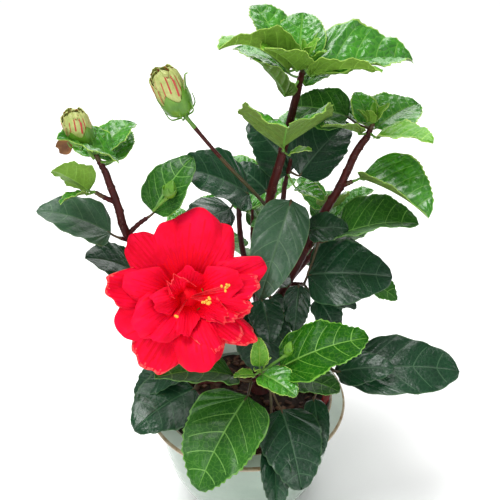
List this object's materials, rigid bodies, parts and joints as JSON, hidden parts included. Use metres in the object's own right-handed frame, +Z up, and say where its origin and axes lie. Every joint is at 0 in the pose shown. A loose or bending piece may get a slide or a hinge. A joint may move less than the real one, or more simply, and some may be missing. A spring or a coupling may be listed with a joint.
{
  "type": "potted hibiscus shrub",
  "caption": "Potted hibiscus shrub with branching woody stems, leafy shoots, one large red double bloom and buds, in a round glazed pot with a flared lip.",
  "frame": {"origin": "centre of the flat underside of the pot", "axes": "+Z up along the plant's height; +Y from the side the bloom faces towards the plant's back; +X to the right of the bloom"},
  "size_m": [0.3108, 0.2624, 0.4277],
  "materials": {
    "pot_glaze": "pale celadon glaze, gloss, with a thin iron-brown line at the lip",
    "potting_soil": "moist bark compost",
    "bark": "dark reddish-brown young bark, satin",
    "young_foliage": "fresh glossy green leaves with pale veins",
    "old_foliage": "dark glossy green leaves with pale green veins",
    "bloom": "vivid red crinkled petals",
    "bud": "pale yellow-green bud with red streaks in a green calyx"
  },
  "bodies": {
    "root": {"pot": "pot_glaze", "soil": "potting_soil", "trunk": "bark", "bough_right": "bark", "bough_left": "bark", "bough_behind_left": "bark", "bough_behind_right": "bark", "bough_back_left": "bark", "bough_back_right": "bark", "bough_back": "bark", "bough_low_front": "bark", "bough_low_right": "bark", "bough_low_left": "bark", "top_shoot": "young_foliage", "upper_front_leaf": "young_foliage", "behind_right_shoot": "old_foliage", "behind_left_shoot": "old_foliage", "right_shoot": "young_foliage", "right_side_leaf": "young_foliage", "middle_right_leaves": "old_foliage", "right_low_leaves": "old_foliage", "middle_front_leaf": "old_foliage", "inner_leaves": "old_foliage", "left_shoot": "young_foliage", "left_side_shoot": "young_foliage", "left_inner_leaf": "old_foliage", "left_outer_leaf": "old_foliage", "left_low_leaf": "old_foliage", "low_front_shoot": "young_foliage", "low_front_left_leaves": "old_foliage", "low_front_right_leaves": "old_foliage", "low_left_leaves": "old_foliage", "low_right_leaves": "old_foliage", "back_left_shoot": "old_foliage", "back_right_shoot": "old_foliage", "back_shoot": "old_foliage", "bloom": "bloom", "tall_bud": "bud"}
  },
  "joints": []
}
